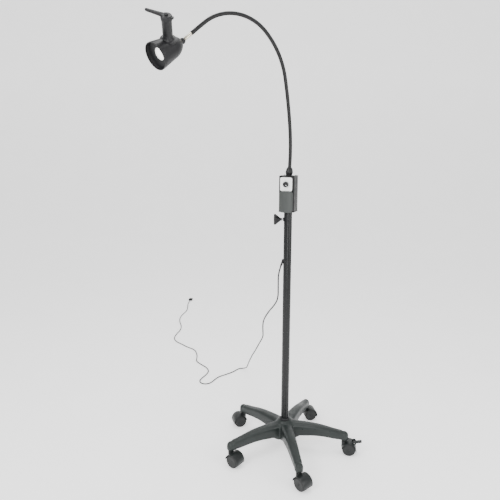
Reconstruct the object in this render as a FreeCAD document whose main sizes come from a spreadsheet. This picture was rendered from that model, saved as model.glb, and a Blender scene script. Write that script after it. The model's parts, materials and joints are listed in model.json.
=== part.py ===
"""Mobile examination lamp: five-star castor base, pole, control box, gooseneck and lamp head.

Millimetres, +Z up. The origin is where the pole's axis meets the floor, and -Y is the control
box's front. The gooseneck bends in one upright plane.
"""

import FreeCAD, Part
import math
import os
import re
import Sketcher
from FreeCAD import Placement, Rotation, Vector

SIZES = {
    # base and castors
    "castor_circle": 275, "base_turn": 13.7, "hub_radius": 36, "hub_low": 62, "hub_top": 150,
    "arm_low": 72, "arm_top": 111, "tip_radius": 18.5,
    "stem_radius": 5.5, "stem_top": 100, "castor_wheel": 30, "castor_trail": 22,
    "wheel_width": 18, "web_half": 7, "hood_radius": 33.5, "axle_radius": 3, "running_gap": 0.06,
    # mast
    "pole_radius": 17.5, "pole_wall": 2, "pole_top": 1112, "mast_radius": 14.6, "mast_wall": 2,
    "mast_low": 640, "mast_top": 1136, "bush_length": 70,
    "clamp_height": 1083, "clamp_turn": 203, "clamp_radius": 23, "clamp_length": 34,
    # control box
    "box_width": 66, "box_depth": 58, "box_low": 1117, "box_high": 1267, "box_wall": 2.5,
    "cap_thick": 3, "corner": 5, "cover_width": 59, "cover_top": 1204, "cover_bulge": 8,
    "plate_width": 51, "plate_height": 56, "dial_height": 1233, "dial_radius": 11.5,
    # gooseneck
    "neck_radius": 7.5, "neck_turn": 225, "neck_offset": -1.33, "neck_low": 1270,
    "neck_lean": -5.07, "ball_radius": 5, "ball_stem": 3, "joint_gap": 5.5,
    "sleeve_radius": 6.5, "sleeve_length": 45, "head_ball": 8,
    # lamp head, measured along its own axis from the back
    "head_turn": -115.5, "head_dip": 28.9, "head_roll": -33.6, "head_back": 6,
    "head_length": 128, "shoulder": 60, "shoulder_radius": 41, "rim_radius": 50.5,
    "back_radius": 9, "head_wall": 2.5, "hood_depth": 20, "lens_radius": 24,
    "handle_place": 62, "handle_radius": 18, "handle_top": 118, "lever_length": 76,
    "lever_turn": 65.4,
    # mains lead
    "cord_radius": 3, "cord_height": 908, "cord_tilt": 22, "relief_length": 32,
    "pin_radius": 2, "pin_length": 19, "pin_spacing": 19,
}

ARM_COUNT = 5
# Each castor's trailing direction, as it happened to roll, round the base from the braked one.
CASTOR_HEADINGS = [13.7, 34, 222, 345, 334]
BRAKED = 1

# Gooseneck spans from the box up: length and the angle each bends through.
NECK_SPANS = [(199, 10.1), (184, 4.8), (190, 34.7), (134, 42), (134, 42), (66, 1.3)]

# The lead's route on from its strain relief: down beside the pole, out, and along the floor.
CORD_ROUTE = [
    (-38, -6, 790), (-41, 4, 725), (-70, 34, 680), (-105, 62, 640), (-138, 80, 590),
    (-156, 112, 545), (-168, 145, 500), (-186, 195, 450), (-222, 245, 398), (-258, 293, 343),
    (-290, 338, 295), (-325, 388, 248), (-360, 445, 196), (-395, 507, 146), (-430, 570, 92),
    (-462, 628, 42), (-495, 675, 8), (-535, 665, 3.2), (-545, 610, 3.2), (-572, 560, 3.2),
    (-603, 510, 3.2), (-606, 450, 3.2), (-612, 415, 3.2), (-640, 395, 3.2), (-674, 408, 3.2),
    (-687, 440, 3.2), (-682, 505, 3.2), (-690, 560, 3.2), (-730, 600, 3.2), (-785, 625, 3.2),
    (-835, 655, 3.2), (-857, 710, 3.2), (-893, 768, 3.2), (-935, 812, 3.2), (-1000, 828, 3.2),
    (-1062, 858, 3.2), (-1120, 880, 3.2), (-1170, 928, 3.2), (-1195, 1005, 3.2),
    (-1208, 1090, 3.2), (-1250, 1170, 3.2), (-1308, 1240, 3.2), (-1352, 1320, 3.2),
    (-1372, 1405, 3.2), (-1385, 1490, 3.2), (-1425, 1572, 3.2), (-1468, 1648, 4),
]
CORD_END = (-1490, 1725, 8)

ORIGIN = Vector(0, 0, 0)
UP = Vector(0, 0, 1)
# The brake pedal's pin, in the castor's own frame: X trails, Z is up from the floor.
PEDAL_HINGE = Vector(45, 0, 61)

doc = FreeCAD.newDocument("ExaminationLamp")
sheet = doc.addObject("Spreadsheet::Sheet", "sizes")
for row, (alias, value) in enumerate(SIZES.items(), 1):
    sheet.set(f"A{row}", alias)
    sheet.set(f"B{row}", str(value))
    sheet.setAlias(f"B{row}", alias)
doc.recompute()

nodes = []


def linked(text):
    """An expression on the sheet's cells, from their plain names."""
    return re.sub(r"[a-z_]+", lambda word: f"sizes.{word[0]}" if word[0] in SIZES else word[0], str(text))


def size(text):
    """The value of such an expression now."""
    return float(sheet.evalExpression(str(text)))


def bind(thing, **expressions):
    for name, text in expressions.items():
        thing.setExpression(name, linked(text))
    return thing


def polar(radius, turn, height=0):
    angle = math.radians(turn)
    return Vector(radius * math.cos(angle), radius * math.sin(angle), height)


def facing(axis, near=UP):
    """The rotation whose Z runs along axis and whose X leans towards near."""
    along = Vector(axis).normalize()
    across = near - along * near.dot(along)
    if across.Length < 1e-6:
        across = Vector(1, 0, 0)
    across.normalize()
    return Rotation(across, along.cross(across), along, "ZXY")


def node(thing, label, place=None):
    """Names a finished sub-part and puts it in its place."""
    thing.Label = label
    if place is not None:
        thing.Placement = place
    nodes.append(thing)
    return thing


def draw(body, role, outline):
    """A closed outline on one of the body's planes. A third value on a point is the radius of
    the arc from it to the next point: positive when the arc's centre is on the left."""
    plane = next(o for o in body.Origin.OriginFeatures if o.Role == role)
    sketch = body.newObject("Sketcher::SketchObject", "outline")
    sketch.AttachmentSupport = [(plane, "")]
    sketch.MapMode = "FlatFace"
    points = [Vector(size(p[0]), size(p[1]), 0) for p in outline]
    ends = []
    for i, entry in enumerate(outline):
        start, stop = points[i], points[(i + 1) % len(points)]
        if len(entry) == 2:
            sketch.addGeometry(Part.LineSegment(start, stop), False)
            ends.append((1, 2))
            continue
        radius = size(entry[2])
        half = (stop - start) * 0.5
        normal = Vector(-half.y, half.x, 0).normalize() * (1 if radius > 0 else -1)
        centre = start + half + normal * math.sqrt(max(radius**2 - half.Length**2, 0))
        middle = centre - normal * abs(radius)
        sketch.addGeometry(Part.Arc(start, middle, stop), False)
        ends.append((1, 2) if radius > 0 else (2, 1))
    for i, entry in enumerate(outline):
        follower = (i + 1) % len(outline)
        sketch.addConstraint(Sketcher.Constraint("Coincident", i, ends[i][1], follower, ends[follower][0]))
        for kind, text, value in (("DistanceX", entry[0], points[i].x), ("DistanceY", entry[1], points[i].y)):
            index = sketch.addConstraint(Sketcher.Constraint(kind, i, ends[i][0], value))
            sketch.setExpression(f"Constraints[{index}]", linked(text))
        if len(entry) == 3:
            index = sketch.addConstraint(Sketcher.Constraint("Radius", i, abs(size(entry[2]))))
            sketch.setExpression(f"Constraints[{index}]", linked(f"abs({entry[2]})"))
    return sketch


def turned(name, outline):
    """A body turned about Z from an outline of (radius, height) points."""
    body = doc.addObject("PartDesign::Body", name)
    sketch = draw(body, "XZ_Plane", outline)
    doc.recompute()
    revolution = body.newObject("PartDesign::Revolution", "revolution")
    revolution.Profile = (sketch, [""])
    revolution.ReferenceAxis = (sketch, ["V_Axis"])
    revolution.Angle = 360
    doc.recompute()
    return body


def padded(name, outline, length, role="XY_Plane"):
    """A body padded from an outline by length, along the plane's normal."""
    body = doc.addObject("PartDesign::Body", name)
    sketch = draw(body, role, outline)
    pad = body.newObject("PartDesign::Pad", "pad")
    pad.Profile = sketch
    bind(pad, Length=length)
    doc.recompute()
    return body


def rounded(width, depth, corner, middle=0):
    """A rectangle with round corners, centred across and about middle up."""
    w, d, r, m = f"({width})/2", f"({depth})/2", str(corner), f"({middle})"
    return [
        (f"-{w}+{r}", f"{m}-{d}"), (f"{w}-{r}", f"{m}-{d}", r),
        (w, f"{m}-{d}+{r}"), (w, f"{m}+{d}-{r}", r),
        (f"{w}-{r}", f"{m}+{d}"), (f"-{w}+{r}", f"{m}+{d}", r),
        (f"-{w}", f"{m}+{d}-{r}"), (f"-{w}", f"{m}-{d}+{r}", r),
    ]


def rod(name, radius, length, place=Placement()):
    """A plain cylinder along its own Z."""
    cylinder = bind(doc.addObject("Part::Cylinder", name), Radius=radius, Height=length)
    cylinder.Placement = place
    return cylinder


def ball(name, radius, place=Placement()):
    sphere = bind(doc.addObject("Part::Sphere", name), Radius=radius)
    sphere.Placement = place
    return sphere


def block(name, width, depth, height, low_corner):
    """A plain box from its lowest corner."""
    box = bind(doc.addObject("Part::Box", name), Length=width, Width=depth, Height=height)
    box.Placement = Placement(low_corner, Rotation())
    return box


def cut(name, base, *tools):
    for i, tool in enumerate(tools):
        result = doc.addObject("Part::Cut", f"{name}_cut{i}")
        result.Base, result.Tool = base, tool
        base = result
    doc.recompute()
    return base


def fuse(name, *shapes):
    result = doc.addObject("Part::MultiFuse", name)
    result.Shapes = list(shapes)
    result.Refine = True
    doc.recompute()
    return result


def common(name, *shapes):
    result = doc.addObject("Part::MultiCommon", name)
    result.Shapes = list(shapes)
    doc.recompute()
    return result


def shaped(name, shape):
    """A feature whose shape is worked out here from the sheet's sizes."""
    feature = doc.addObject("Part::Feature", name)
    feature.Shape = shape
    return feature


# ---------------------------------------------------------------- base

def arm_section(reach, half, low, top):
    """A closed section across an arm, with its top corners rounder than its bottom ones."""
    soft, tight = half * 0.6, 5
    edges = []
    corners = [(-half, low, tight), (half, low, tight), (half, top, soft), (-half, top, soft)]
    joints = []
    for i, (y, z, r) in enumerate(corners):
        here = Vector(reach, y, z)
        before = Vector(reach, *corners[i - 1][:2])
        after = Vector(reach, *corners[(i + 1) % 4][:2])
        a = here + (before - here).normalize() * r
        b = here + (after - here).normalize() * r
        centre = a + (b - here)
        joints.append((a, centre + (here - centre).normalize() * r, b))
    for i, (a, middle, b) in enumerate(joints):
        edges.append(Part.Arc(a, middle, b).toShape())
        edges.append(Part.LineSegment(b, joints[(i + 1) % 4][0]).toShape())
    return Part.Wire(edges)


def star_arm():
    """One hollow-looking arm, deep at the hub and shallow at the castor, with a domed end."""
    circle, low, top = size("castor_circle"), size("arm_low"), size("arm_top")
    hub_low, hub_top, tip = size("hub_low"), size("hub_top"), size("tip_radius")
    sections = []
    for share in (0.1, 0.4, 0.7, 0.96):
        bottom = hub_low + (low + 2 - hub_low) * share
        height = hub_top - 4 + (top - hub_top + 4) * share**0.85
        half = 31 + (tip - 1.5 - 31) * share**0.8
        sections.append(arm_section(circle * share, half, bottom, height))
    loft = Part.makeLoft(sections, True, False)
    boss = Part.makeCylinder(tip, top - tip - low, Vector(circle, 0, low))
    dome = Part.makeSphere(tip, Vector(circle, 0, top - tip))
    return loft.fuse(boss.fuse(dome).removeSplitter())


def make_base():
    arm = star_arm()
    arms = []
    for i in range(ARM_COUNT):
        turned_arm = arm.copy()
        turned_arm.rotate(ORIGIN, UP, size("base_turn") + i * 360 / ARM_COUNT)
        arms.append(turned_arm)
    hub = turned("hub", [
        (0, "hub_low"), ("hub_radius + 4", "hub_low"), ("hub_radius + 6", "hub_low + 8"),
        ("hub_radius + 2", "hub_top - 14", "40"), ("pole_radius + 9", "hub_top"), (0, "hub_top"),
    ])
    shape = hub.Shape
    for turned_arm in arms:
        shape = shape.fuse(turned_arm)
    bores = [Part.makeCylinder(size("pole_radius"), 200, Vector(0, 0, size("hub_low") - 10))]
    for i in range(ARM_COUNT):
        place = polar(size("castor_circle"), size("base_turn") + i * 360 / ARM_COUNT, size("arm_low") - 10)
        bores.append(Part.makeCylinder(size("stem_radius + running_gap"), size("stem_top - arm_low") + 11, place))
    for bore in bores:
        shape = shape.cut(bore)
    node(shaped("base", shape.removeSplitter()), "star_base")
    node(turned("collar", [
        ("pole_radius", "hub_top"), ("pole_radius + 6", "hub_top"), ("pole_radius + 6", "hub_top + 4", "-4"),
        ("pole_radius + 2.5", "hub_top + 8"), ("pole_radius", "hub_top + 8"),
    ]), "hub_collar")


def castor_places():
    """Each castor's stem foot and its trailing direction."""
    for i, heading in enumerate(CASTOR_HEADINGS):
        foot = polar(size("castor_circle"), size("base_turn") + i * 360 / ARM_COUNT)
        yield i + 1, foot, heading


def make_castor(number, foot, heading):
    """A hooded twin-wheel castor: stem, hood, and two wheels on their axle."""
    place = Placement(foot, Rotation(UP, heading))
    across = Rotation(Vector(1, 0, 0), 90)
    axle = Vector(size("castor_trail"), 0, size("castor_wheel"))
    half = size("web_half") + size("wheel_width") + 1.5
    tag = f"castor_{number}"

    def drum(name, radius, low, high):
        length = high - low
        return rod(name, radius, length, Placement(axle + Vector(0, high, 0), across))

    hood = drum("hood", "hood_radius", -half, half)
    boss = rod("boss", 12.5, "arm_low - 6 - castor_wheel", Placement(Vector(0, 0, size("castor_wheel")), Rotation()))
    pockets = [
        drum("pocket", "castor_wheel + 1", size("web_half"), half + 8),
        drum("pocket", "castor_wheel + 1", -half - 8, -size("web_half")),
    ]
    opening = block("opening", 120, 120, 60, Vector(0, -60, 0))
    opening.Placement = Placement(Vector(-60, -60, -34), Rotation(Vector(0, 1, 0), -8))
    bores = [
        drum("bore", "axle_radius", -half - 9, half + 9),
        rod("stem_bore", "stem_radius", 60, Placement(Vector(0, 0, size("arm_low") - 24), Rotation())),
    ]
    ears = []
    if number == BRAKED:
        ears = [rod("ear", 9, 3, Placement(PEDAL_HINGE + Vector(0, y, 0), across)) for y in (-10.2, 13.2)]
        bores.append(rod("pin_bore", 2, 60, Placement(PEDAL_HINGE + Vector(0, 30, 0), across)))
        pin_place = Placement(PEDAL_HINGE + Vector(0, 13.2, 0), across)
        node(rod("pin", 2, 26.4, pin_place), "brake_pin", place.multiply(pin_place))
        make_pedal(place, across)
    solid = cut("hood", fuse("hood_blank", hood, boss, *ears), *pockets, opening, *bores)
    node(solid, f"{tag}_hood", place.multiply(solid.Placement))
    node(rod("stem", "stem_radius", "stem_top - arm_low + 24"), f"{tag}_stem",
         place.multiply(Placement(Vector(0, 0, size("arm_low") - 24), Rotation())))
    rim, bore = "castor_wheel", "axle_radius"
    wheel = [
        (bore, 0), ("castor_wheel - 12", 0), ("castor_wheel - 10", 1.5), ("castor_wheel - 3", 1.5),
        (rim, 4), (rim, "wheel_width - 5", "6"), ("castor_wheel - 4.5", "wheel_width - 0.6"),
        ("castor_wheel - 8", "wheel_width"), (10, "wheel_width - 2.5", ), (bore, "wheel_width - 1.5"),
    ]
    wheels = []
    for side, turn in ((1, -90), (-1, 90)):
        body = turned("wheel", wheel)
        offset = Vector(0, side * (size("web_half") + 0.5), 0)
        body.Placement = Placement(axle + offset, Rotation(Vector(1, 0, 0), turn))
        wheels.append(body.Shape)
    pin = Part.makeCylinder(size("axle_radius - running_gap"), 2 * half - 8,
                            axle - Vector(0, half - 4, 0), Vector(0, 1, 0))
    wheelset = shaped("wheelset", wheels[0].fuse([wheels[1], pin]))
    node(wheelset, f"{tag}_wheels", place)


def make_pedal(place, across):
    """The foot brake's pedal, on its pin behind the hood's top."""
    hub = rod("pedal_hub", 4.3, 19.6, Placement(PEDAL_HINGE + Vector(0, 9.8, 0), across))
    tread = padded("tread", rounded(34, 19, 5), 4)
    tread.Placement = Placement(PEDAL_HINGE + Vector(18, 0, 1), Rotation(Vector(0, 1, 0), -14))
    bore = rod("pedal_bore", "2 + running_gap", 40, Placement(PEDAL_HINGE + Vector(0, 20, 0), across))
    pedal = cut("pedal", fuse("pedal_blank", hub, tread), bore)
    node(pedal, "brake_pedal", place.multiply(pedal.Placement))


# ---------------------------------------------------------------- mast

def tube(name, radius, wall, low, high):
    outer = rod(name, radius, f"{high} - ({low})", Placement(Vector(0, 0, size(low)), Rotation()))
    inner = rod(name, f"{radius} - {wall}", f"{high} - ({low}) + 4",
                Placement(Vector(0, 0, size(low) - 2), Rotation()))
    return outer, inner


def clamp_line(reach):
    """The place on the clamp screw's axis at that distance from the pole's axis."""
    out = polar(1, size("clamp_turn"))
    return Placement(out * reach + Vector(0, 0, size("clamp_height")), facing(out))


def relief_place(along=0):
    """The place on the lead's way out of the pole."""
    start = polar(16, size("clamp_turn"), size("cord_height"))
    tilt = math.radians(size("cord_tilt"))
    out = polar(math.sin(tilt), size("clamp_turn")) - UP * math.cos(tilt)
    return Placement(start + out * along, facing(out))


def make_mast():
    outer, inner = tube("pole", "pole_radius", "pole_wall", "hub_low + 2", "pole_top")
    screw_hole = rod("screw_hole", 3.4, 30, clamp_line(5))
    node(cut("pole", outer, inner, screw_hole), "pole_tube")
    node(turned("pole_foot", [
        (0, "hub_low + 2"), ("pole_radius - pole_wall", "hub_low + 2"),
        ("pole_radius - pole_wall", "hub_low + 12"), (0, "hub_low + 12"),
    ]), "pole_foot_plug")
    bush = turned("bush", [
        ("mast_radius + running_gap", "pole_top - bush_length"), ("pole_radius - pole_wall", "pole_top - bush_length"),
        ("pole_radius - pole_wall", "pole_top"), ("pole_radius", "pole_top"),
        ("pole_radius", "pole_top + 1.5", "2"), ("pole_radius - 1.5", "pole_top + 3"),
        ("mast_radius + running_gap", "pole_top + 3"),
    ])
    node(cut("bush", bush, rod("screw_hole", 3.4, 30, clamp_line(5))), "mast_bush")
    outer, inner = tube("mast", "mast_radius", "mast_wall", "mast_low", "mast_top")
    node(cut("mast", outer, inner), "inner_mast")

    boss = turned("boss", [(3, 14), (8, 14), (8, 20.5), (7, 22), (3, 22)])
    boss.Placement = clamp_line(0)
    core = rod("pole_core", "pole_radius", 80, Placement(Vector(0, 0, size("clamp_height") - 40), Rotation()))
    node(cut("boss", boss, core), "clamp_boss")
    node(rod("screw", 2.94, 25), "clamp_screw", clamp_line(size("mast_radius") + 0.3))
    knob = turned("knob", [
        (0, 39.9), (2.94, 39.9), (2.94, 26), (5.5, 26), (6.5, 32), ("clamp_radius - 1", 51, "-30"),
        ("clamp_radius", 53), ("clamp_radius", 57, "3"), ("clamp_radius - 3", 60), (0, 61),
    ])
    scallops = [rod("scallop", 8, 60, Placement(polar(28, 60 * i + 30), Rotation())) for i in range(6)]
    grip = cut("knob", knob, *scallops)
    node(grip, "clamp_knob", clamp_line(0).multiply(grip.Placement))


# ---------------------------------------------------------------- control box

def make_box():
    flat = lambda height: Placement(Vector(0, 0, size(height)), Rotation())
    front = "-box_depth/2"
    outer = padded("shell", rounded("box_width", "box_depth", "corner"), "box_high - box_low - 2*cap_thick")
    outer.Placement = flat("box_low + cap_thick")
    inner = padded("shell_room", rounded("box_width - 2*box_wall", "box_depth - 2*box_wall", 3), 200)
    inner.Placement = flat("box_low - 10")
    shaft_line = Placement(Vector(0, 0, size("dial_height")), Rotation(Vector(1, 0, 0), 90))
    shaft_hole = rod("shaft_hole", "3 + running_gap", 80, shaft_line)
    node(cut("shell", outer, inner, shaft_hole), "box_shell")

    lid = padded("lid", rounded("box_width + 2", "box_depth + 2", "corner + 1"), "cap_thick")
    lid.Placement = flat("box_high - cap_thick")
    neck_hole = rod("neck_hole", 6, 40, flat("box_high - 20"))
    node(cut("lid", lid, neck_hole), "box_top_cap")
    floor = padded("floor", rounded("box_width + 2", "box_depth + 2", "corner + 1"), "cap_thick")
    floor.Placement = flat("box_low")
    socket = rod("socket", 21, 16, flat("box_low + cap_thick"))
    mast_hole = rod("mast_hole", "mast_radius + running_gap", 60, flat("box_low - 5"))
    node(cut("floor", fuse("floor_blank", floor, socket), mast_hole), "box_bottom_cap")

    radius = "((cover_width/2)^2 + cover_bulge^2)/(2*cover_bulge)"
    plan = [
        ("-cover_width/2", front), ("-cover_width/2", f"{front} - 2", radius),
        ("cover_width/2", f"{front} - 2"), ("cover_width/2", front),
    ]
    bulge = padded("bulge", plan, 120)
    bulge.Placement = flat("box_low - 10")
    middle = "(cover_top + box_low - 1)/2"
    face = padded("face", rounded("cover_width", "cover_top - box_low + 1", 11, middle), 90, "XZ_Plane")
    face.Placement = Placement(Vector(0, 0, 0), Rotation())
    lip = block("lip", 90, 12, 8, Vector(-45, size(front) - 1.05, size("box_low") - 4))
    node(cut("cover", common("cover_blank", bulge, face), lip), "front_cover")

    plate = padded("plate", rounded("plate_width", "plate_height", 7, "dial_height"), 3, "XZ_Plane")
    plate.Placement = Placement(Vector(0, size(front), 0), Rotation())
    node(cut("plate", plate, shaft_hole), "switch_plate")
    dial = turned("dial", [
        (0, 33.2), ("dial_radius", 33.2), ("dial_radius", 35, "40"), ("dial_radius - 0.8", 43),
        ("dial_radius - 2.3", 44.5), (0, 44.5),
    ])
    flutes = [rod("flute", 1.2, 30, Placement(polar(size("dial_radius") + 0.7, 20 * i, 34.6), Rotation()))
              for i in range(18)]
    dial = cut("dial", dial, *flutes)
    node(dial, "dial_knob", shaft_line.multiply(dial.Placement))
    node(rod("dial_shaft", 3, 15), "dial_shaft", shaft_line.multiply(Placement(Vector(0, 0, 18.2), Rotation())))
    node(block("dimmer", 18, 9, 18, Vector(-9, -17.5, size("dial_height") - 9)), "dimmer_switch")
    node(block("board", 50, 1.6, 96, Vector(-25, 12, 1145)), "driver_board")
    node(block("converter", 34, 22, 40, Vector(-17, -10, 1155)), "power_converter")
    node(make_screws(), "cap_screws")


def make_screws():
    """Four pan-head screws that hold the top cap."""
    x, y = size("box_width")/2 - 8, size("box_depth")/2 - 8
    screws = []
    for corner in (Vector(x, y, 0), Vector(-x, y, 0), Vector(x, -y, 0), Vector(-x, -y, 0)):
        head = turned("screw", [(0, 0), (3.2, 0), (3.2, 0.8, "2"), (1.6, 2.2), (1, 2.2), (1, 1.2), (0, 1.2)])
        head.Placement = Placement(corner + Vector(0, 0, size("box_high")), Rotation())
        screws.append(head)
    return fuse("cap_screws", *screws)


# ---------------------------------------------------------------- gooseneck

def bend_direction():
    return polar(1, size("neck_turn"))


def neck_frames():
    """Each span's start and its direction there, in degrees from upright."""
    out = bend_direction()
    point = out * size("neck_offset") + UP * size("neck_low")
    angle = size("neck_lean")
    frames = []
    for length, sweep in NECK_SPANS:
        frames.append((point, angle, length, sweep))
        point = span_point(point, angle, length, sweep, length)
        angle += sweep
    frames.append((point, angle, 0, 0))
    return frames


def heading_at(angle):
    lean = math.radians(angle)
    return bend_direction() * math.sin(lean) + UP * math.cos(lean)


def span_point(start, angle, length, sweep, reach):
    """The point a distance reach along a span's arc."""
    radius = length / math.radians(sweep)
    first, last = math.radians(angle), math.radians(angle + sweep * reach / length)
    across, up = radius * (math.cos(first) - math.cos(last)), radius * (math.sin(last) - math.sin(first))
    return start + bend_direction() * across + UP * up


def neck_tube(frame, low, high):
    """The bent tube between two distances along a span."""
    start, angle, length, sweep = frame
    ends = [span_point(start, angle, length, sweep, reach) for reach in (low, (low + high)/2, high)]
    path = Part.Wire(Part.Arc(*ends).toShape())
    direction = heading_at(angle + sweep * low / length)
    circle = Part.Wire(Part.Circle(ends[0], direction, size("neck_radius")).toShape())
    return path.makePipeShell([circle], True, True)


def make_neck():
    """Gooseneck spans, joined by ball joints that stand for the bending of the metal hose."""
    frames = neck_frames()
    clearance = size("ball_radius") + 0.3
    for i, frame in enumerate(frames[:-1]):
        start, angle, length, sweep = frame
        first, last = i == 0, i == len(NECK_SPANS) - 1
        shape = neck_tube(frame, 0 if first else size("joint_gap"), length)
        if not first:
            stem = Part.makeCylinder(size("ball_stem"), size("joint_gap") + 1, start, heading_at(angle))
            shape = shape.fuse([Part.makeSphere(size("ball_radius"), start), stem])
        if not last:
            hinge, ahead = frames[i + 1][0], heading_at(frames[i + 1][1])
            rim = Part.makeCylinder(size("neck_radius"), 1.5, hinge, ahead)
            shape = shape.fuse(rim).cut(Part.makeSphere(clearance, hinge))
        node(shaped("span", shape), f"neck_span_{i + 1}")
    end, angle = frames[-1][:2]
    along = heading_at(angle)
    pivot = neck_end()
    sleeve = turned("sleeve", [
        (0, "-sleeve_length"), ("sleeve_radius - 0.6", "-sleeve_length"),
        ("sleeve_radius", "0.8 - sleeve_length"), ("sleeve_radius", -12), (4.5, -10), (4.5, -6.614, "head_ball"),
        (0.8, "sqrt(head_ball^2 - 0.64)"), (0, "sqrt(head_ball^2 - 0.64)"),
    ])
    node(sleeve, "neck_sleeve", Placement(pivot, facing(along)))
    foot = turned("ferrule", [
        ("neck_radius + 0.5", -6), (13, -6), (13, 1), (14.5, 5, "14"), (14.5, 16, "30"), (9.5, 30),
        ("neck_radius + 0.5", 31),
    ])
    foot.Placement = Placement(frames[0][0], facing(heading_at(frames[0][1])))
    below = rod("below", 60, 30, Placement(Vector(0, 0, size("box_high") - 30), Rotation()))
    node(cut("ferrule", foot, below), "neck_ferrule")


def neck_end():
    """The centre of the ball that carries the lamp head."""
    end, angle = neck_frames()[-1][:2]
    return end + heading_at(angle) * size("sleeve_length")


# ---------------------------------------------------------------- lamp head

def head_place():
    """The lamp head's own frame: Z out of the lens, X up the handle, from the back of the housing."""
    dip = math.radians(size("head_dip"))
    axis = polar(math.cos(dip), size("head_turn")) - UP * math.sin(dip)
    upright = facing(axis)
    rolled = Rotation(axis, size("head_roll")).multiply(upright)
    return Placement(neck_end() + axis * size("head_back"), rolled)


def outer_profile():
    return [
        ("back_radius", 0, "80"), ("shoulder_radius", "shoulder"), ("rim_radius", "head_length - 8"),
    ]


def make_head():
    place = head_place()
    into = lambda z: Placement(Vector(0, 0, z), Rotation())
    shell = turned("shell", outer_profile() + [
        ("rim_radius - head_wall", "head_length - 8"), ("shoulder_radius - head_wall", "shoulder + 1", "-78"),
        ("back_radius - 0.5", "head_wall + 0.6"), (6, "head_wall"), (6, 0),
    ])
    node(shell, "lamp_housing", place)
    node(turned("ring", [
        ("rim_radius - head_wall", "head_length - 8"), ("rim_radius", "head_length - 8"),
        ("rim_radius + 0.3", "head_length - 1.5", "1.5"), ("rim_radius - 1", "head_length"),
        ("rim_radius - head_wall", "head_length - 0.5"),
    ]), "hood_ring", place)

    # The baffle holds the lens and closes the housing behind the open hood.
    face = "head_length - hood_depth"
    node(turned("baffle", [
        ("lens_radius - 1.5", face), ("lens_radius - 1.5", f"{face} - 2"), ("lens_radius", f"{face} - 2"),
        ("lens_radius", f"{face} - 8"), ("lens_radius + 3", f"{face} - 8"), ("lens_radius + 4", f"{face} - 3"),
        ("rim_radius - head_wall - 3", f"{face} + 1"), ("rim_radius - head_wall - 2.2", f"{face} + 4"),
        ("rim_radius - head_wall - 4", f"{face} + 4"), ("lens_radius + 2", f"{face}"),
    ]), "lens_baffle", place)
    node(turned("lens", [
        (0, f"{face} - 8"), ("lens_radius", f"{face} - 8"), ("lens_radius", f"{face} - 2"),
        ("lens_radius - 1.5", f"{face} - 2", "60"), (0.8, f"{face} + 2.5"), (0, f"{face} + 2.5"),
    ]), "lens", place)
    node(turned("reflector", [
        (9, 66), (10.5, 66), ("lens_radius - 2", f"{face} - 8", ), ("lens_radius - 3.5", f"{face} - 8"),
    ]), "reflector", place)
    node(turned("module", [
        (0, 62), (14, 62), (14, 64), (4.5, 64, "4.5"), (0.8, 68.4), (0, 68.4),
    ]), "led_module", place)
    node(turned("sink", [
        (0, 22), (8, 22), (8, 30), (22, 30), (22, 32.5), (8, 32.5), (8, 37), (24, 37), (24, 39.5), (8, 39.5),
        (8, 44), (24, 44), (24, 46.5), (8, 46.5), (8, 51), (24, 51), (24, 62), (0, 62),
    ]), "heat_sink", place)

    pivot = neck_end()
    axis = place.Rotation.multVec(UP)
    back = heading_at(neck_frames()[-1][1]) * -1
    cup = ball("cup", "head_ball + 3.5", Placement(pivot, Rotation()))
    boss = rod("boss", "back_radius", "head_back + 0.5", Placement(pivot, facing(axis)))
    spigot = rod("spigot", 6, "head_back + 8", Placement(pivot, facing(axis)))
    room = ball("room", "head_ball + 0.15", Placement(pivot, Rotation()))
    mouth = rod("mouth", 7.4, 40, Placement(pivot, facing(back)))
    behind = rod("behind", 30, 30, place)
    collar = cut("cup", fuse("cup_blank", cup, boss), behind)
    socket = cut("socket", fuse("socket_blank", collar, spigot), room, mouth)
    node(socket, "ball_socket")
    make_handle(place)


def make_handle(place):
    """The handle that stands on the housing, and the lever on its top."""
    core = turned("core", outer_profile() + [(0, "head_length - 8"), (0, 0)])
    core.Placement = place
    upward = place.multiply(Placement(Vector(0, 0, size("handle_place")), Rotation(Vector(0, 1, 0), 90)))
    stem = turned("handle", [
        (0, 30), (29, 30), (29, 40, "-12"), ("handle_radius + 1", 51, "-24"), ("handle_radius", 60),
        ("handle_radius", "handle_top - 14"), ("handle_radius + 2.5", "handle_top - 3"),
        ("handle_radius + 2.5", "handle_top"), (0, "handle_top"),
    ])
    stem.Placement = upward
    node(cut("handle", stem, core), "handle_stem")

    # In the handle's frame X points backwards along the head, so the lever's turn starts there.
    lever_frame = upward.multiply(Placement(Vector(0, 0, size("handle_top") + 0.3), Rotation(UP, 180 - size("lever_turn"))))
    hub = turned("hub", [
        (0, 0), ("handle_radius + 2.5", 0), ("handle_radius + 2.5", 4, "6"), ("handle_radius - 4", 9), (0, 9),
    ])
    bar_outline = [
        (0, -10), (30, -6.5), ("lever_length - 4", -4), ("lever_length - 4", 4), (30, 6.5), (0, 10),
    ]
    bar = padded("bar", bar_outline, 8)
    bar.Placement = Placement(Vector(0, 0, 1), Rotation(Vector(0, 1, 0), -5))
    knob = ball("lever_end", 5, Placement(Vector(size("lever_length") - 4, 0, 11.5), Rotation()))
    tail = padded("tail", [(0, -8), ("-handle_radius - 8", -4.5), ("-handle_radius - 8", 4.5), (0, 8)], 6)
    bore = rod("lever_bore", 4, 40, Placement(Vector(0, 0, -10), Rotation()))
    lever = cut("lever", fuse("lever_blank", hub, bar, tail, knob), bore)
    node(lever, "handle_lever", lever_frame.multiply(lever.Placement))
    node(turned("lever_screw", [
        (0, -8), (3.9, -8), (3.9, 10), (7, 10), (7, 12.5, "4"), (4.5, 15), (2.2, 15), (2.2, 12.5), (0, 12.5),
    ]), "lever_screw", lever_frame)


# ---------------------------------------------------------------- mains lead

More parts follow.
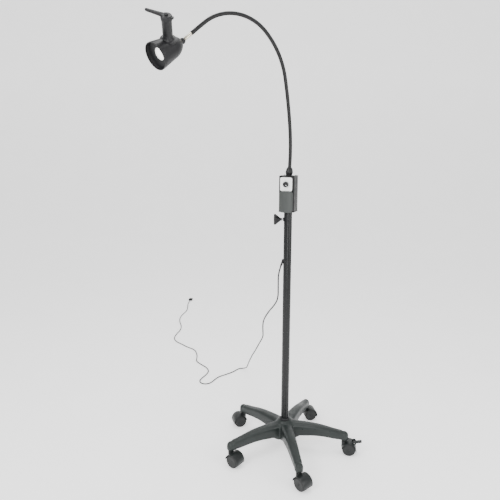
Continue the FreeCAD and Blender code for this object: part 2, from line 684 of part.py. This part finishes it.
def cord_path(points):
    """Straight runs joined by tangent arcs, each as large as its two runs allow."""
    edges, at, radii = [], points[0], []
    for before, here, after in zip(points, points[1:], points[2:]):
        back, ahead = (before - here), (after - here)
        turn = math.pi - back.getAngle(ahead)
        trim = 0.45 * min(back.Length, ahead.Length)
        radii.append(trim / math.tan(turn / 2))
        first = here + back.normalize() * trim
        last = here + ahead.normalize() * trim
        centre_line = (back + ahead).normalize()
        middle = here + centre_line * (math.hypot(radii[-1], trim) - radii[-1])
        edges += [Part.LineSegment(at, first).toShape(), Part.Arc(first, middle, last).toShape()]
        at = last
    edges.append(Part.LineSegment(at, points[-1]).toShape())
    return Part.Wire(edges), radii


def make_lead():
    relief = turned("relief", [
        ("cord_radius", 0), (6.5, 0), (6.5, 6), (5.6, 8), ("cord_radius + 0.9", "relief_length"),
        ("cord_radius", "relief_length"),
    ])
    relief.Placement = relief_place()
    core = rod("pole_core", "pole_radius", 120, Placement(Vector(0, 0, size("cord_height") - 60), Rotation()))
    node(cut("relief", relief, core), "strain_relief")

    points = [relief_place(14).Base, relief_place(58).Base]
    points += [Vector(*p) for p in CORD_ROUTE] + [Vector(*CORD_END)]
    path, radii = cord_path(points)
    print("lead radii", [round(r) for r in radii])
    start = points[1] - points[0]
    circle = Part.Wire(Part.Circle(points[0], start, size("cord_radius")).toShape())
    tube_shape = path.makePipeShell([circle], True, False)
    section = math.pi * size("cord_radius")**2
    print("lead length", round(path.Length), "volume ratio", tube_shape.Volume / (section * path.Length))
    node(shaped("lead", tube_shape), "mains_lead")

    away = (points[-1] - points[-2]).normalize()
    place = Placement(points[-1], facing(away))
    body = padded("plug", rounded(14, 33, 6), 30)
    body.Placement = Placement(Vector(0, 0, 14), Rotation())
    tail = turned("plug_tail", [(0, 0), ("cord_radius + 1", 0), (6, 15), (0, 15)])
    plug = fuse("plug_body", body, tail)
    node(plug, "plug_body", place)
    pins = []
    for side in (-0.5, 0.5):
        pin = turned("pin", [
            (0, 44), ("pin_radius", 44), ("pin_radius", "44 + pin_length - 1.5", "2"), (0.7, "44 + pin_length"),
            (0, "44 + pin_length"),
        ])
        pin.Placement = Placement(Vector(0, side * size("pin_spacing"), 0), Rotation())
        pins.append(pin)
    node(fuse("plug_pins", *pins), "plug_pins", place)


make_base()
for castor in castor_places():
    make_castor(*castor)
make_mast()
make_box()
make_neck()
make_head()
make_lead()
doc.recompute()

failed = [o.Name for o in doc.Objects if {"Invalid", "Error"} & set(o.State)]
empty = [o.Label for o in nodes if o.Shape.isNull() or not o.Shape.isValid() or not o.Shape.Solids]
if failed or empty:
    raise SystemExit(f"failed objects {failed}, bad shapes {empty}")
os.makedirs("parts", exist_ok=True)
for thing in nodes:
    thing.Shape.exportStep(f"parts/{thing.Label}.step")
print(len(nodes), "nodes written")
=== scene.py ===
"""Looks of the mobile examination lamp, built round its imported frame. Metres, +Z up."""

import json
import math
import bmesh
import bpy
from mathutils import Matrix, Vector


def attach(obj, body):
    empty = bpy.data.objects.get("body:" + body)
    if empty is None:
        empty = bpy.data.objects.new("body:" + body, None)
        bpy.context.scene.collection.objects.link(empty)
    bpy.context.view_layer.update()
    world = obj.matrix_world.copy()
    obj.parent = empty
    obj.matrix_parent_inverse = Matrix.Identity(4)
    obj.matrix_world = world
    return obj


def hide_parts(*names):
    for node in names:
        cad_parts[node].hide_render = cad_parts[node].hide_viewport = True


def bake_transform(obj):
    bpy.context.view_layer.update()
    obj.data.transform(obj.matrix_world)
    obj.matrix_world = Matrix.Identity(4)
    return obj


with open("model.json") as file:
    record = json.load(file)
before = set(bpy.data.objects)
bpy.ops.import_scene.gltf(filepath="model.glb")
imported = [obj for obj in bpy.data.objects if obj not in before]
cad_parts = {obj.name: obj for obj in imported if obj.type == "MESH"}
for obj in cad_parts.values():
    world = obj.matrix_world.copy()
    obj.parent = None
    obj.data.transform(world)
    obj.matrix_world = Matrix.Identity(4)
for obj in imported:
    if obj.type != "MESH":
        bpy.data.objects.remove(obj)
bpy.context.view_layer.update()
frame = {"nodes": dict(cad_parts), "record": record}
body_of = {n: b for b, members in frame["record"]["behaviour"]["bodies"].items() for n in members}
slot_of = {s["node"]: s["material_slot"] for s in frame["record"]["subparts"]}

# ---------------------------------------------------------------- camera and lead

CAMERA_PLACE = (0.6715, -1.9938, 1.4138)
CAMERA_TURN = 23.0
CAMERA_DIP = 12.475
CAMERA_LENS = 36.0

# The lead's route, the same points as the CAD tube's: out of the relief, down, along the floor.
LEAD_START = [(-0.01956, -0.00830, 0.89502), (-0.03473, -0.01474, 0.85422)]
LEAD_ROUTE_MM = [
    (-38, -6, 790), (-41, 4, 725), (-70, 34, 680), (-105, 62, 640), (-138, 80, 590),
    (-156, 112, 545), (-168, 145, 500), (-186, 195, 450), (-222, 245, 398), (-258, 293, 343),
    (-290, 338, 295), (-325, 388, 248), (-360, 445, 196), (-395, 507, 146), (-430, 570, 92),
    (-462, 628, 42), (-495, 675, 8), (-535, 665, 3.2), (-545, 610, 3.2), (-572, 560, 3.2),
    (-603, 510, 3.2), (-606, 450, 3.2), (-612, 415, 3.2), (-640, 395, 3.2), (-674, 408, 3.2),
    (-687, 440, 3.2), (-682, 505, 3.2), (-690, 560, 3.2), (-730, 600, 3.2), (-785, 625, 3.2),
    (-835, 655, 3.2), (-857, 710, 3.2), (-893, 768, 3.2), (-935, 812, 3.2), (-1000, 828, 3.2),
    (-1062, 858, 3.2), (-1120, 880, 3.2), (-1170, 928, 3.2), (-1195, 1005, 3.2),
    (-1208, 1090, 3.2), (-1250, 1170, 3.2), (-1308, 1240, 3.2), (-1352, 1320, 3.2),
    (-1372, 1405, 3.2), (-1385, 1490, 3.2), (-1425, 1572, 3.2), (-1468, 1648, 4),
    (-1490, 1725, 8),
]
LEAD_DIAMETER = 0.006


def make_camera():
    data = bpy.data.cameras.new("camera")
    data.lens = CAMERA_LENS
    data.sensor_width = 36
    camera = bpy.data.objects.new("camera", data)
    camera.location = CAMERA_PLACE
    camera.rotation_euler = (math.radians(90 - CAMERA_DIP), 0, math.radians(CAMERA_TURN))
    bpy.context.scene.collection.objects.link(camera)
    bpy.context.scene.camera = camera


# ---------------------------------------------------------------- materials

def new_material(name):
    material = bpy.data.materials.new(name)
    material.use_nodes = True
    tree = material.node_tree
    return material, tree, tree.nodes["Principled BSDF"]


def add_noise(tree, scale, detail=4, stretch=None):
    """A noise texture in the piece's own space; stretch squeezes it along its axes."""
    coordinates = tree.nodes.new("ShaderNodeTexCoord")
    noise = tree.nodes.new("ShaderNodeTexNoise")
    noise.inputs["Scale"].default_value = scale
    noise.inputs["Detail"].default_value = detail
    source = coordinates.outputs["Object"]
    if stretch:
        mapping = tree.nodes.new("ShaderNodeMapping")
        mapping.inputs["Scale"].default_value = stretch
        tree.links.new(source, mapping.inputs["Vector"])
        source = mapping.outputs["Vector"]
    tree.links.new(source, noise.inputs["Vector"])
    return noise.outputs["Fac"]


def add_range(tree, factor, low, high):
    """Stretches a noise's middle to run from low to high."""
    node = tree.nodes.new("ShaderNodeMapRange")
    node.inputs["From Min"].default_value = 0.3
    node.inputs["From Max"].default_value = 0.7
    node.inputs["To Min"].default_value = low
    node.inputs["To Max"].default_value = high
    tree.links.new(factor, node.inputs["Value"])
    return node.outputs["Result"]


def add_blend(tree, factor, first, second):
    """A colour between two, by factor."""
    node = tree.nodes.new("ShaderNodeMix")
    node.data_type = "RGBA"
    node.inputs["A"].default_value = (*first, 1)
    node.inputs["B"].default_value = (*second, 1)
    tree.links.new(factor, node.inputs["Factor"])
    return node.outputs["Result"]


def surface(name, colour, roughness, grain=0.15, grain_size=0.0006, depth=0.0001, variation=0.18,
            metallic=0.0, rub=0.0, stretch=None, coat=0.0, specular=0.3):
    """A moulded, painted or turned surface: mottled colour, uneven gloss, fine grain, rubbed patches."""
    material, tree, shader = new_material(name)
    blotches = add_noise(tree, 22, 5)
    dark = tuple(c * (1 - variation) for c in colour)
    light = tuple(min(1, c * (1 + variation)) for c in colour)
    base = add_blend(tree, add_range(tree, blotches, 0, 1), dark, light)
    tree.links.new(base, shader.inputs["Base Color"])
    fine = add_noise(tree, 1 / grain_size, 3, stretch)
    patches = add_noise(tree, 60, 6, stretch)
    gloss = add_range(tree, patches, max(0.03, roughness - 0.07 - rub), min(1, roughness + 0.07))
    tree.links.new(gloss, shader.inputs["Roughness"])
    bump = tree.nodes.new("ShaderNodeBump")
    bump.inputs["Strength"].default_value = grain
    bump.inputs["Distance"].default_value = depth
    tree.links.new(fine, bump.inputs["Height"])
    tree.links.new(bump.outputs["Normal"], shader.inputs["Normal"])
    shader.inputs["Metallic"].default_value = metallic
    shader.inputs["Coat Weight"].default_value = coat
    shader.inputs["Coat Roughness"].default_value = 0.2
    shader.inputs["Specular IOR Level"].default_value = specular
    return material


def lens_surface():
    """The frosted front lens, lit evenly from behind."""
    material = surface("lens_frosted", (0.93, 0.93, 0.9), 0.2, grain=0.1, variation=0.02, coat=0.6)
    shader = material.node_tree.nodes["Principled BSDF"]
    shader.inputs["Emission Color"].default_value = (1, 0.99, 0.95, 1)
    shader.inputs["Emission Strength"].default_value = 1.1
    return material


def floor_surface():
    material, tree, shader = new_material("studio_floor")
    cloud = add_range(tree, add_noise(tree, 3, 3), 0, 1)
    shade = add_blend(tree, cloud, (0.90, 0.90, 0.90), (0.93, 0.93, 0.93))
    tree.links.new(shade, shader.inputs["Base Color"])
    shader.inputs["Roughness"].default_value = 0.9
    shader.inputs["Specular IOR Level"].default_value = 0.1
    shader.inputs["Emission Color"].default_value = (1, 1, 1, 1)
    shader.inputs["Emission Strength"].default_value = 0.6
    return material


MATERIALS = {
    "base_nylon": surface("base_nylon", (0.013, 0.017, 0.016), 0.38, grain=0.35, grain_size=0.0008,
                          variation=0.12, rub=0.04, specular=0.3),
    "black_plastic": surface("black_plastic", (0.007, 0.007, 0.008), 0.42, grain=0.2, variation=0.08),
    "black_paint": surface("black_powder_coat", (0.006, 0.0065, 0.007), 0.30, grain=0.2, grain_size=0.0009,
                           variation=0.05, rub=0.02),
    "lead_rubber": surface("lead_rubber", (0.006, 0.006, 0.007), 0.5, grain=0.15, grain_size=0.0004),
    "nickel": surface("nickel", (0.72, 0.70, 0.66), 0.22, grain=0.05, metallic=1, variation=0.05),
    "steel": surface("steel", (0.55, 0.55, 0.54), 0.33, grain=0.12, metallic=1, variation=0.08,
                     stretch=(1, 1, 0.05)),
    "black_steel": surface("black_steel", (0.012, 0.012, 0.013), 0.3, grain=0.1, variation=0.08),
    "chrome_mast": surface("chrome_mast", (0.75, 0.75, 0.75), 0.14, grain=0.04, metallic=1, variation=0.04),
    "box_black": surface("box_black", (0.005, 0.005, 0.0055), 0.40, grain=0.35, grain_size=0.0010,
                         variation=0.08, rub=0.03, specular=0.2),
    "cover_grey": surface("cover_grey", (0.040, 0.044, 0.042), 0.45, grain=0.3, grain_size=0.0007,
                          variation=0.06),
    "plate_white": surface("plate_white", (0.86, 0.87, 0.86), 0.3, grain=0.06, variation=0.02, coat=0.3),
    "board_green": surface("board_green", (0.02, 0.16, 0.06), 0.35, variation=0.15),
    "chrome_sleeve": surface("chrome_sleeve", (0.62, 0.58, 0.48), 0.24, grain=0.06, metallic=1,
                             variation=0.08, stretch=(0.1, 0.1, 1)),
    "lamp_black": surface("lamp_black", (0.0075, 0.0075, 0.0085), 0.42, grain=0.35, grain_size=0.0009,
                          variation=0.08, rub=0.03),
    "lens_glass": lens_surface(),
    "reflector_bright": surface("reflector_bright", (0.9, 0.9, 0.9), 0.1, grain=0.05, metallic=1,
                                variation=0.02),
    "led_yellow": surface("led_yellow", (0.9, 0.75, 0.2), 0.3, variation=0.05),
    "aluminium": surface("aluminium", (0.6, 0.6, 0.6), 0.4, grain=0.3, metallic=1, variation=0.06),
    "castor_plastic": surface("castor_plastic", (0.010, 0.012, 0.012), 0.40, grain=0.3, variation=0.1,
                              rub=0.04),
    "wheel_nylon": surface("wheel_nylon", (0.009, 0.010, 0.010), 0.40, grain=0.3, variation=0.12, rub=0.06),
    "neck_black": surface("neck_black", (0.005, 0.005, 0.0055), 0.34, grain=0.1, grain_size=0.0005,
                          variation=0.05),
}

# ---------------------------------------------------------------- making pieces

SHARP = 35
SMOOTH_ALL_ROUND = 180


def add_piece(name, mesh, body, slot, replaces=(), sharp=SHARP):
    """Links a mesh as a piece that rides on a body, smooth but for edges over sharp degrees."""
    mesh.polygons.foreach_set("use_smooth", [True] * len(mesh.polygons))
    mesh.set_sharp_from_angle(angle=math.radians(sharp))
    mesh.materials.clear()
    mesh.materials.append(MATERIALS[slot])
    piece = bpy.data.objects.new(name, mesh)
    bpy.context.scene.collection.objects.link(piece)
    if replaces:
        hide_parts(*replaces)
    if body:
        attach(piece, body)
    return piece


def evaluated(piece):
    """The piece's mesh with its modifiers applied, as a mesh of its own."""
    graph = bpy.context.evaluated_depsgraph_get()
    return bpy.data.meshes.new_from_object(piece.evaluated_get(graph))


def with_modifiers(mesh, settings):
    """Runs a mesh through modifiers, each (type, {property: value}), and returns the result."""
    scratch = bpy.data.objects.new("scratch", mesh)
    bpy.context.scene.collection.objects.link(scratch)
    for kind, values in settings:
        modifier = scratch.modifiers.new(kind, kind)
        for key, value in values.items():
            setattr(modifier, key, value)
    result = evaluated(scratch)
    bpy.data.objects.remove(scratch)
    return result


def clean_cad_mesh(node):
    """A copy of a CAD node's mesh with its vertices joined and flat areas as single faces."""
    mesh = frame["nodes"][node].data.copy()
    work = bmesh.new()
    work.from_mesh(mesh)
    bmesh.ops.remove_doubles(work, verts=work.verts, dist=1e-6)
    bmesh.ops.dissolve_limit(work, angle_limit=math.radians(0.5), verts=work.verts, edges=work.edges)
    work.to_mesh(mesh)
    work.free()
    return mesh


# Edges turning by more than this many degrees are rounded.
BEVELLED_ABOVE = 40
BLACKENED = ("lever_screw", "cap_screws")


def refined(node, bevel):
    """A CAD node with its hard edges rounded, standing for that node."""
    mesh = clean_cad_mesh(node)
    mesh = with_modifiers(mesh, [("BEVEL", {
        "width": bevel, "segments": 3, "limit_method": "ANGLE",
        "angle_limit": math.radians(BEVELLED_ABOVE), "use_clamp_overlap": True,
    })])
    piece = add_piece(f"{node}_form", mesh, body_of[node], slot_of[node], [node])
    if node in BLACKENED:
        piece.data.materials[0] = MATERIALS["black_steel"]
    return piece


# ---------------------------------------------------------------- base

ARM_START = 0.046
ARM_END = 0.262
ARM_LOW = 0.072
ARM_ROOT_HIGH = 0.150
ARM_TIP_HIGH = 0.111
ARCH = 0.007
ROOT_LIFT = 0.016


def arched(place):
    """Bows an arm's crown upwards and lifts its underside near the hub."""
    reach = (math.hypot(place.x, place.y) - ARM_START) / (ARM_END - ARM_START)
    if not 0 < reach < 1:
        return place.z
    crown = ARM_ROOT_HIGH + (ARM_TIP_HIGH - ARM_ROOT_HIGH) * reach
    depth = max(0, min(1, (crown - place.z) / (crown - ARM_LOW)))
    fade = min(1, reach / 0.16)
    lift = ROOT_LIFT * depth * (1 - reach) * fade * fade * (3 - 2 * fade)
    return place.z + ARCH * math.sin(math.pi * reach) ** 2 + lift


def make_base():
    """The star base as one moulding, with soft fillets where its arms meet the hub."""
    mesh = with_modifiers(clean_cad_mesh("star_base"), [
        ("REMESH", {"mode": "VOXEL", "voxel_size": 0.0028}),
        ("CORRECTIVE_SMOOTH", {"iterations": 22, "smooth_type": "LENGTH_WEIGHTED", "use_only_smooth": True}),
    ])
    for vertex in mesh.vertices:
        vertex.co.z = arched(vertex.co)
    add_piece("star_base_moulding", mesh, "base", "base_nylon", ["star_base"], 60)


# ---------------------------------------------------------------- gooseneck

NECK_RADIUS = 0.0075
RIB_PITCH = 0.0036
RIB_DEPTH = 0.00022
NECK_STEP = 0.0009
NECK_SIDES = 28
CUT_MARGIN = NECK_STEP * 0.6
NECK_START = (-0.00133, 1.270)
NECK_LEAN = -5.07
NECK_SPANS = [(0.199, 10.1), (0.184, 4.8), (0.190, 34.7), (0.134, 42), (0.134, 42), (0.066, 1.3)]
NECK_OUT = Vector((-math.sqrt(0.5), -math.sqrt(0.5), 0))
NECK_SIDE = Vector((math.sqrt(0.5), -math.sqrt(0.5), 0))


def neck_line():
    """Points along the gooseneck: (distance, place, direction)."""
    across, up = NECK_START
    distance, lean = 0.0, math.radians(NECK_LEAN)
    line = []
    for length, sweep in NECK_SPANS:
        steps = round(length / NECK_STEP)
        for _ in range(steps):
            line.append((distance, NECK_OUT * across + Vector((0, 0, up)), lean))
            step, turn = length / steps, math.radians(sweep) / steps
            across += step * math.sin(lean + turn / 2)
            up += step * math.cos(lean + turn / 2)
            distance += step
            lean += turn
    line.append((distance, NECK_OUT * across + Vector((0, 0, up)), lean))
    return line


def make_neck():
    """The ribbed sleeve of the gooseneck in lengths cut at the spans' middles; the first rides on the
    control box, the last on neck_6, and the middle lengths are left on no body.
    """
    line = neck_line()
    starts = [0.0]
    for length, _ in NECK_SPANS:
        starts.append(starts[-1] + length)
    cuts = [0.0] + [(starts[i] + starts[i + 1]) / 2 for i in range(len(NECK_SPANS))] + [starts[-1]]
    bodies = ["control_box"] + [f"neck_{i}" for i in range(2, 7)]
    for i, (low, high) in enumerate(zip(cuts, cuts[1:])):
        rows = [p for p in line if low - CUT_MARGIN <= p[0] <= high + CUT_MARGIN]
        vertices, faces = [], []
        for distance, place, lean in rows:
            direction = NECK_OUT * math.sin(lean) + Vector((0, 0, math.cos(lean)))
            upward = direction.cross(NECK_SIDE)
            for k in range(NECK_SIDES):
                angle = 2 * math.pi * k / NECK_SIDES
                wave = math.cos(2 * math.pi * distance / RIB_PITCH - angle)
                radius = NECK_RADIUS - RIB_DEPTH * (1 - wave) / 2
                vertices.append(place + (NECK_SIDE * math.cos(angle) + upward * math.sin(angle)) * radius)
        for row in range(len(rows) - 1):
            for k in range(NECK_SIDES):
                a, b = row * NECK_SIDES + k, row * NECK_SIDES + (k + 1) % NECK_SIDES
                faces.append((a, b, b + NECK_SIDES, a + NECK_SIDES))
        mesh = bpy.data.meshes.new(f"neck_sleeve_{i}")
        mesh.from_pydata(vertices, [], faces)
        name = f"gooseneck_{i + 1}"
        if 1 <= i <= 5:
            piece = add_piece(name, mesh, None, "neck_black", [f"neck_span_{i + 1}"], SMOOTH_ALL_ROUND)
            hinge = min(line, key=lambda p: abs(p[0] - starts[i]))
            direction = NECK_OUT * math.sin(hinge[2]) + Vector((0, 0, math.cos(hinge[2])))
            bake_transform(piece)
        elif i == 0:
            add_piece(name, mesh, bodies[0], "neck_black", ["neck_span_1"], SMOOTH_ALL_ROUND)
        else:
            add_piece(name, mesh, bodies[-1], "neck_black", (), SMOOTH_ALL_ROUND)


# ---------------------------------------------------------------- lead

def make_lead():
    points = [Vector(p) for p in LEAD_START] + [Vector(p) / 1000 for p in LEAD_ROUTE_MM]
    curve = bpy.data.curves.new("mains_lead_flex", "CURVE")
    curve.dimensions = "3D"
    curve.bevel_depth = LEAD_DIAMETER / 2
    curve.bevel_resolution = 4
    curve.use_fill_caps = True
    curve.resolution_u = 10
    spline = curve.splines.new("NURBS")
    spline.points.add(len(points) - 1)
    for target, point in zip(spline.points, points):
        target.co = (*point, 1)
    spline.order_u = 3
    spline.use_endpoint_u = True
    curve.materials.append(MATERIALS["lead_rubber"])
    flex = bpy.data.objects.new("mains_lead_flex", curve)
    bpy.context.scene.collection.objects.link(flex)
    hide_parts("mains_lead")
    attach(flex, "base")
    plug = refined("plug_body", 0.0012)
    pins = refined("plug_pins", 0.0003)


# ---------------------------------------------------------------- control box marks

DIAL_CENTRE = Vector((0, 0, 1.233))
PLATE_FACE = -0.032
DIAL_FACE = -0.0445
DIAL_SWEEP = 270
SCALE_STEPS = 10
PRINT = 0.0001


def bar(width, depth, height, place):
    """A small box's corners and faces round a place: width along X, depth along Y, height along Z."""
    corners = [place + Vector((x * width / 2, y * depth / 2, z * height / 2))
               for x in (-1, 1) for y in (-1, 1) for z in (-1, 1)]
    faces = [(0, 1, 3, 2), (4, 6, 7, 5), (0, 4, 5, 1), (2, 3, 7, 6), (0, 2, 6, 4), (1, 5, 7, 3)]
    return corners, faces


def round_dial(box, turn):
    """A bar that stands above the dial's axis, turned clockwise round it by degrees."""
    corners, faces = box
    spin = Matrix.Rotation(math.radians(turn), 4, "Y")
    return [DIAL_CENTRE + spin @ corner for corner in corners], faces


def joined_bars(name, bars):
    """One mesh of several boxes, each (corners, faces)."""
    vertices, faces = [], []
    for corners, sides in bars:
        faces += [tuple(len(vertices) + v for v in side) for side in sides]
        vertices += corners
    mesh = bpy.data.meshes.new(name)
    mesh.from_pydata(vertices, [], faces)
    return mesh


def make_marks():
    """The brightness scale round the dial, and the dial's pointer."""
    ticks = []
    for step in range(SCALE_STEPS + 1):
        turn = -DIAL_SWEEP / 2 + DIAL_SWEEP * step / SCALE_STEPS
        length = 0.0032 if step % 5 == 0 else 0.0020
        ticks.append(round_dial(bar(0.0006, PRINT, length, Vector((0, PLATE_FACE, 0.0150))), turn))
    add_piece("dial_scale", joined_bars("dial_scale", ticks), "control_box", "black_plastic", (), 20)
    pointer = round_dial(bar(0.0012, 0.0004, 0.0070, Vector((0, DIAL_FACE, 0.0052))), DIAL_SWEEP / 2)
    add_piece("dial_pointer", joined_bars("dial_pointer", [pointer]), "dial", "plate_white", (), 20)


# ---------------------------------------------------------------- everything else

REFINED = {
    "hub_collar": 0.0008, "pole_tube": 0.0005, "mast_bush": 0.0004, "clamp_boss": 0.0005,
    "strain_relief": 0.0004, "clamp_screw": 0.0003, "clamp_knob": 0.0016, "inner_mast": 0.0004,
    "box_shell": 0.0006, "box_top_cap": 0.0009, "box_bottom_cap": 0.0009, "front_cover": 0.0022,
    "switch_plate": 0.0008, "cap_screws": 0.0002, "dial_knob": 0.0005, "neck_ferrule": 0.0006,
    "neck_sleeve": 0.0004, "ball_socket": 0.0006, "lamp_housing": 0.0008, "hood_ring": 0.0006,
    "lens_baffle": 0.0004, "lens": 0.0003, "handle_stem": 0.0008, "handle_lever": 0.0010,
    "lever_screw": 0.0003, "brake_pedal": 0.0012, "brake_pin": 0.0003,
}
HIDDEN_INSIDE = [
    "pole_foot_plug", "dimmer_switch", "driver_board", "power_converter", "dial_shaft",
    "reflector", "led_module", "heat_sink",
]


def make_rest():
    for node, bevel in REFINED.items():
        refined(node, bevel)
    for number in range(1, 6):
        refined(f"castor_{number}_hood", 0.0012)
        refined(f"castor_{number}_wheels", 0.0005)
        refined(f"castor_{number}_stem", 0.0003)
    for node in HIDDEN_INSIDE:
        frame["nodes"][node].data.materials.clear()
        frame["nodes"][node].data.materials.append(MATERIALS[slot_of[node]])


# ---------------------------------------------------------------- studio

def make_stage():
    """A pale floor that sweeps up into a backdrop."""
    reach, depth, wall, bend = 9.0, 7.0, 7.0, 2.5
    profile = [(-8.0, 0.0), (depth - bend, 0.0)]
    profile += [(depth - bend + bend * math.sin(a), bend - bend * math.cos(a))
                for a in (math.pi / 2 * i / 24 for i in range(1, 25))]
    profile.append((depth, wall))
    vertices = [(x, y, z) for y, z in profile for x in (-reach, reach)]
    faces = [(2 * i, 2 * i + 1, 2 * i + 3, 2 * i + 2) for i in range(len(profile) - 1)]
    mesh = bpy.data.meshes.new("studio_floor")
    mesh.from_pydata(vertices, [], faces)
    mesh.polygons.foreach_set("use_smooth", [True] * len(mesh.polygons))
    mesh.materials.append(floor_surface())
    floor = bpy.data.objects.new("studio_floor", mesh)
    floor.rotation_euler = (0, 0, math.radians(CAMERA_TURN))
    bpy.context.scene.collection.objects.link(floor)


def add_light(name, place, target, size, power):
    data = bpy.data.lights.new(name, "AREA")
    data.shape = "RECTANGLE"
    data.size, data.size_y = size
    data.energy = power
    light = bpy.data.objects.new(name, data)
    light.location = place
    light.rotation_euler = (Vector(target) - Vector(place)).to_track_quat("-Z", "Y").to_euler()
    bpy.context.scene.collection.objects.link(light)


def make_lights():
    world = bpy.data.worlds.new("studio")
    world.use_nodes = True
    world.node_tree.nodes["Background"].inputs["Color"].default_value = (1, 1, 1, 1)
    world.node_tree.nodes["Background"].inputs["Strength"].default_value = 1.0
    bpy.context.scene.world = world
    add_light("key", (-1.2, -2.8, 2.9), (-0.1, -0.1, 1.0), (1.6, 1.6), 90)
    add_light("front", (0.9, -2.6, 1.6), (0, 0, 1.0), (0.5, 2.2), 35)
    add_light("fill", (2.8, -0.6, 1.8), (0, 0, 0.9), (1.2, 2.0), 40)
    add_light("top", (0.0, 0.3, 3.6), (0, 0, 0.6), (2.0, 2.0), 50)


make_camera()
make_lead()
make_stage()
make_lights()
make_base()
make_neck()
make_marks()
make_rest()
